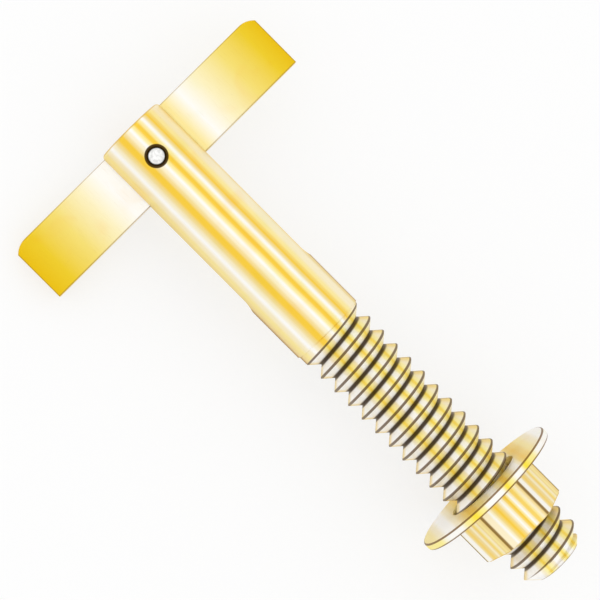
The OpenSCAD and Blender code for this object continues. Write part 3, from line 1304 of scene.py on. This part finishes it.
@dataclass(frozen=True)
class ToggleBar:
    """The flat cross bar.

    Args:
        length: Its length.
        width: Its width.
        thickness: Its thickness.
        bearing: Distance from the pin to the edge that bears on the wall.
        corner_r: Radius of the two rounded corners.
        corner_run: How far along the bar they reach.
        edge: Rounding of all its edges.
        hole_r: Radius of the pin's hole.
        pocket_r: Radius of the spring's pocket.
        pocket_z: Floor of the pocket and its groove.
        leg_groove: Lowest and highest corner of the groove for the spring's lower leg.
    """

    length: float = 41.3
    width: float = 8.1
    thickness: float = 3.0
    bearing: float = 3.75
    corner_r: float = 2.7
    corner_run: float = 2.0
    edge: float = 0.2
    hole_r: float = 1.1
    pocket_r: float = 2.08
    pocket_z: float = -0.419
    leg_groove: tuple[Point, Point] = ((PIN_X + 1.42, -4.28, -0.419), (PIN_X + 2.08, 0.0, 3.0))

    def outline(self) -> list[tuple[float, float]]:
        """Draws the bar seen along the pin, counter-clockwise."""
        near, half = PIN_X + self.bearing, self.length / 2
        far = near - self.width
        centre = (far + self.corner_r, half - self.corner_run)
        reach = math.degrees(math.asin(self.corner_run / self.corner_r))
        upper = arc(centre, self.corner_r, 180 - reach, 180, 10)
        lower = [(x, -y) for x, y in reversed(upper)]
        return [(near, -half), (near, half), *upper, *lower]

    def mesh(self) -> bpy.types.Mesh:
        """Draws the bar with rounded edges, its hole, pocket and leg groove."""
        outline, half = self.outline(), self.thickness / 2
        levels = [(-half + self.edge * (1 - math.cos(math.radians(22.5 * i))),
                   self.edge * (1 - math.sin(math.radians(22.5 * i)))) for i in range(5)]
        levels += [(-z, by) for z, by in reversed(levels)]
        rings = [[(x, y, z) for x, y in inset(outline, by)] for z, by in levels]
        hole = turned([(self.hole_r + 1.12, -half - 1.0), (self.hole_r, -half + 0.12),
                       (self.hole_r, half)], 64, upright=True)
        pocket = turned([(self.pocket_r, self.pocket_z), (self.pocket_r, half - 0.1),
                         (self.pocket_r + 1.1, half + 1.0)], 72, upright=True)
        cutters = (hole, pocket, block(*self.leg_groove))
        return carved(skinned(rings), [(Cut.AWAY, cutter) for cutter in cutters], "bar")

    def build(self, shop: Workshop) -> list[bpy.types.Object]:
        """Makes the bar and joins it to its body."""
        near = PIN_X + self.bearing
        coat = BarZinc(self.length / 2, self.thickness, near, near - self.width)
        bar = shop.piece("cross_bar", self.mesh(), coat.material())
        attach(bar, "toggle_bar")
        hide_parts("toggle_bar")
        return [bar]


@dataclass(frozen=True)
class PivotPin:
    """The riveted pin.

    Args:
        radius: Its radius.
        reach: Height of its domed ends.
        dome: How much the ends are domed.
    """

    radius: float = 1.05
    reach: float = 5.1
    dome: float = 0.25

    def mesh(self) -> bpy.types.Mesh:
        """Turns the pin with its two hammered domes."""
        ball = (self.radius ** 2 + self.dome ** 2) / (2 * self.dome)
        spread = math.degrees(math.asin(self.radius / ball))
        cap = arc((0.0, self.reach - ball), ball, 90 - spread, 90, 12)[:-1]
        cap = [(self.radius, cap[0][1] - 0.12), (self.radius - 0.015, cap[0][1] - 0.03),
               *[(max(r - 0.05, 0.02), z) for r, z in cap], (0.002, self.reach)]
        foot = [(r, -z) for r, z in reversed(cap)]
        return turned([*foot, *cap], 96, upright=True).mesh("pin")

    def build(self, shop: Workshop) -> list[bpy.types.Object]:
        """Makes the pin and joins it to the screw's body."""
        pin = shop.piece("rivet_pin", self.mesh(), BrightSteel(self.radius).material())
        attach(pin, "stud")
        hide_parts("pivot_pin")
        return [pin]


@dataclass(frozen=True)
class TorsionSpring:
    """The spring round the pin.

    Args:
        coil_r: Radius of the coil's centre line.
        wire_r: Radius of the wire.
        foot: Height of the lowest turn.
        rise: Height that the coil climbs.
        turns: Number of turns.
        leg: Length of both legs.
        leg_top: Height of the upper leg.
        climb: Length over which the upper leg climbs to its height.
        sides: Sides of the wire.
    """

    coil_r: float = 1.75
    wire_r: float = 0.25
    foot: float = -0.119
    rise: float = 1.499
    turns: float = 2.75
    leg: float = 4.2
    leg_top: float = 1.87
    climb: float = 1.4
    sides: int = 14

    def route(self) -> list[Vector]:
        """Draws the wire's centre line: leg, coil and leg, with eased bends."""
        steps = int(36 * self.turns)
        path = [Vector((self.coil_r, -self.leg * (1 - i / 8), self.foot)) for i in range(8)]
        for i in range(steps + 1):
            angle = 2 * math.pi * self.turns * i / steps
            path.append(Vector((self.coil_r * math.cos(angle), self.coil_r * math.sin(angle),
                                self.foot + self.rise * i / steps)))
        top = self.foot + self.rise
        for i in range(1, 15):
            run = self.leg * i / 14
            ease = max(0.0, min(1.0, run / self.climb))
            lift = (self.leg_top - top) * ease * ease * (3 - 2 * ease)
            path.append(Vector((run, -self.coil_r, top + lift)))
        return path

    def mesh(self) -> bpy.types.Mesh:
        """Sweeps the wire, with slightly rounded cut ends."""
        path = self.route()
        rings = []
        last = len(path) - 1
        stops = [(0, 0.0, 0.55), (0, 0.05, 0.85), (0, 0.08, 1.0)]
        stops += [(i, 0.0, 1.0) for i in range(1, last)]
        stops += [(last, -0.08, 1.0), (last, -0.05, 0.85), (last, 0.0, 0.55)]
        for i, push, share in stops:
            ahead = (path[min(i + 1, last)] - path[max(i - 1, 0)]).normalized()
            side = Vector((0, 0, 1)).cross(ahead).normalized()
            up = ahead.cross(side)
            centre = path[i] + ahead * push + Vector((PIN_X, 0.0, 0.0))
            ring = []
            for j in range(self.sides):
                angle = 2 * math.pi * j / self.sides
                point = centre + self.wire_r * share * (math.cos(angle) * side
                                                        + math.sin(angle) * up)
                ring.append(tuple(point))
            rings.append(ring)
        return skinned(rings).mesh("spring")

    def build(self, shop: Workshop) -> list[bpy.types.Object]:
        """Makes the spring; the places of its legs are worked out but not used."""
        spring = shop.piece("torsion_spring_wire", self.mesh(), SpringWire().material(), 60.0)
        upper = shop.laid.place((PIN_X, 0.0, self.leg_top - self.wire_r))
        lower = shop.laid.place((PIN_X, 0.0, self.foot + self.wire_r))
        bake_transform(spring)
        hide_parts("torsion_spring")
        return [spring]


@dataclass(frozen=True)
class FlatWasher:
    """The washer.

    Args:
        x: Place of its front face.
        rim_r: Its radius.
        bore_r: Radius of its hole.
        thickness: Its thickness.
        round_r: Rounding of the rim's edges.
    """

    x: float = 62.6
    rim_r: float = 10.4
    bore_r: float = 5.2
    thickness: float = 1.1
    round_r: float = 0.25

    def mesh(self) -> bpy.types.Mesh:
        """Turns the washer with its rounded rim and broken bore edges."""
        rim, back = self.rim_r - self.round_r, self.x + self.thickness
        profile = [(self.bore_r, self.x + 0.1), (self.bore_r + 0.03, self.x + 0.03),
                   (self.bore_r + 0.1, self.x), (self.bore_r + 2.0, self.x),
                   *arc((rim, self.x + self.round_r), self.round_r, -90, 0, 6),
                   *arc((rim, back - self.round_r), self.round_r, 0, 90, 6),
                   (self.bore_r + 2.0, back), (self.bore_r + 0.1, back),
                   (self.bore_r + 0.03, back - 0.03), (self.bore_r, back - 0.1)]
        return turned(profile, 240, looped=True).mesh("washer")

    def build(self, shop: Workshop) -> list[bpy.types.Object]:
        """Makes the washer and joins it to its body."""
        coat = WasherZinc(self.rim_r, self.x + self.thickness / 2, self.thickness, self.bore_r)
        washer = shop.piece("flat_washer", self.mesh(), coat.material())
        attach(washer, "washer")
        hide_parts("washer")
        return [washer]


@dataclass(frozen=True)
class HexNut:
    """The nut.

    Args:
        x: Place of its front face.
        flats: Width across the flats.
        height: Its height.
        face_d: Diameter of the round left by the corner chamfers.
        slope: Slope of those chamfers in degrees.
        corner: Rounding of the six upright corners.
        clearance: Play between the two threads.
        countersink: Opening of the bore at both faces.
    """

    x: float = 63.7
    flats: float = 11.1
    height: float = 6.4
    face_d: float = 12.2
    slope: float = 30.0
    corner: float = 0.12
    clearance: float = 0.12
    countersink: float = 0.15

    def prism(self) -> Shape:
        """Draws the hexagon with rounded corners."""
        reach = (self.flats / 2 - self.corner) / math.cos(math.radians(30))
        ring: list[tuple[float, float]] = []
        for k in range(6):
            turn = math.radians(60 * k)
            centre = (reach * math.cos(turn), reach * math.sin(turn))
            ring += arc(centre, self.corner, 60 * k - 30, 60 * k + 30, 6)
        return skinned([[(x, a, b) for a, b in ring]
                        for x in (self.x, self.x + self.height)])

    def outline(self) -> Shape:
        """Turns the body that takes the corners off."""
        far, face = 8.0, self.face_d / 2
        drop = (far - face) * math.tan(math.radians(self.slope))
        end = self.x + self.height
        ease = 0.06
        return turned([(AXIS, self.x), (face - ease, self.x), (face, self.x + ease * 0.35),
                       (far, self.x + drop), (far, end - drop), (face, end - ease * 0.35),
                       (face - ease, end), (AXIS, end)], 180)

    def mouth(self, helix: Helix, back: bool) -> Shape:
        """Turns the cone that opens the bore at one face."""
        wide = helix.crest + self.clearance + self.countersink
        if back:
            face = self.x + self.height
            return turned([(AXIS, face - wide), (wide + 1.0, face + 1.0),
                           (AXIS, face + 1.0)], 120)
        return turned([(AXIS, self.x - 1.0), (wide + 1.0, self.x - 1.0),
                       (AXIS, self.x + wide)], 120)

    def mesh(self, helix: Helix) -> bpy.types.Mesh:
        """Cuts the nut from the prism."""
        skipped = math.floor((self.x - helix.pitch - helix.start) / helix.pitch)
        tap = Helix(helix.pitch, helix.crest, helix.root,
                    helix.start + skipped * helix.pitch, helix.sides, helix.soften)
        turns = math.ceil(self.height / helix.pitch) + 2
        return carved(self.prism(), [
            (Cut.COMMON, self.outline()), (Cut.AWAY, tap.body(turns, 1, self.clearance, 0.0)),
            (Cut.AWAY, self.mouth(helix, False)), (Cut.AWAY, self.mouth(helix, True))], "nut")

    def build(self, shop: Workshop, helix: Helix) -> list[bpy.types.Object]:
        """Makes the nut and joins it to its body."""
        coat = NutZinc(self.flats, self.x + self.height / 2, self.height,
                       helix.crest + self.clearance)
        nut = shop.piece("hexagon_nut", self.mesh(helix), coat.material(), 24.0)
        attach(nut, "nut")
        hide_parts("hex_nut")
        return [nut]


# ----------------------------------------------------------------------- studio


@dataclass(frozen=True)
class Studio:
    """Floor, light and camera.

    Args:
        eye: Place of the camera in the screw's frame, in millimetres.
        aim: Point that it looks at.
        lean: Turn of the camera in degrees, beside the screw's diagonal.
        lens: Focal length in millimetres.
        sensor: Width of the sensor in millimetres.
        ambient: Strength of the surroundings.
        floor_half: Half the floor's width in metres.
        lamps: Name, place and width in metres, and power in watts, of each lamp.
    """

    eye: Point = (15.49, -8.20, 281.36)
    aim: Point = (29.91, 0.165, 0.0)
    lean: float = 0.13
    lens: float = 135.4
    sensor: float = 36.0
    ambient: float = 1.0
    floor_half: float = 1.6
    lamps: tuple[tuple[str, Point, float, float], ...] = (
        ("key", (-0.80, 0.05, 0.60), 1.4, 0.75),
        ("fill", (0.50, -0.30, 0.80), 1.2, 0.3))

    def floor(self) -> None:
        """Lays the floor."""
        half = self.floor_half
        mesh = bpy.data.meshes.new("floor")
        mesh.from_pydata([(-half, -half, 0), (half, -half, 0), (half, half, 0),
                          (-half, half, 0)], [], [(0, 1, 2, 3)])
        floor = placed("floor", mesh)
        mesh.materials.append(PaleFloor().material())

    def world(self) -> None:
        """Sets the even light of the surroundings, white where it is seen."""
        world = bpy.data.worlds.new("surroundings")
        bpy.context.scene.world = world
        nodes = NodeTree(world)
        plain, seen = (
            nodes.node("ShaderNodeBackground", None,
                       {"Color": (1.0, 1.0, 1.0, 1.0), "Strength": strength})
            for strength in (self.ambient, 1.0))
        rays = nodes.node("ShaderNodeLightPath")
        mixed = nodes.node("ShaderNodeMixShader", None,
                           {0: rays.outputs["Is Camera Ray"], 1: plain.outputs[0],
                            2: seen.outputs[0]})
        nodes.node("ShaderNodeOutputWorld", None, {0: mixed.outputs[0]})

    def lamp(self, name: str, place: Point, size: float, power: float) -> None:
        """Hangs a soft square lamp that looks at the bolt.

        Args:
            name: Name of the lamp.
            place: Where it hangs, in metres.
            size: Its width in metres.
            power: Its power in watts.
        """
        light = bpy.data.lights.new(name, "AREA")
        light.shape, light.size, light.energy = "SQUARE", size, power
        lamp = placed(name, light)
        lamp.location = place
        lamp.rotation_euler = (-Vector(place)).to_track_quat("-Z", "Y").to_euler()

    def camera(self, place: ScrewFrame) -> None:
        """Sets the camera up square to the pin, with the screw on the diagonal of its view."""
        eye, aim = place.place(self.eye), place.place(self.aim)
        ahead = (aim - eye).normalized()
        along = (place.along - ahead * place.along.dot(ahead)).normalized()
        across = (-ahead).cross(along)
        lean = math.radians(self.lean)
        u = along * math.cos(lean) + across * math.sin(lean)
        w = -along * math.sin(lean) + across * math.cos(lean)
        right, up = (u + w).normalized(), (w - u).normalized()
        data = bpy.data.cameras.new("camera")
        data.lens, data.sensor_width = self.lens, self.sensor
        data.clip_start, data.clip_end = 0.01, 10.0
        camera = placed("camera", data)
        basis = Matrix((right, up, -ahead)).transposed()
        camera.matrix_world = Matrix.Translation(eye) @ basis.to_4x4()
        bpy.context.scene.camera = camera
        log.info("camera at %s", tuple(eye))

    def build(self, place: ScrewFrame) -> None:
        """Sets up floor, light and camera.

        Args:
            place: The screw's frame.
        """
        bpy.context.scene.view_settings.view_transform = "Standard"
        self.floor()
        self.world()
        for lamp in self.lamps:
            self.lamp(*lamp)
        self.camera(place)


# ------------------------------------------------------------------------- main


def main() -> None:
    """Builds and dresses every piece of the bolt, then the studio."""
    logging.basicConfig(level=logging.INFO, format="%(message)s")
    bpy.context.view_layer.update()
    helix = Helix()
    screw = Screw()
    shop = Workshop(LAID)
    makers: list[Callable[[], list[bpy.types.Object]]] = [
        lambda: screw.build(shop, helix),
        lambda: ToggleBar().build(shop),
        lambda: PivotPin().build(shop),
        lambda: TorsionSpring().build(shop),
        lambda: FlatWasher().build(shop),
        lambda: HexNut().build(shop, helix)]
    for make in makers:
        for made in make():
            log.info("%s: %d faces", made.name, len(made.data.polygons))
    Studio().build(LAID)


if __name__ == "__main__":
    main()
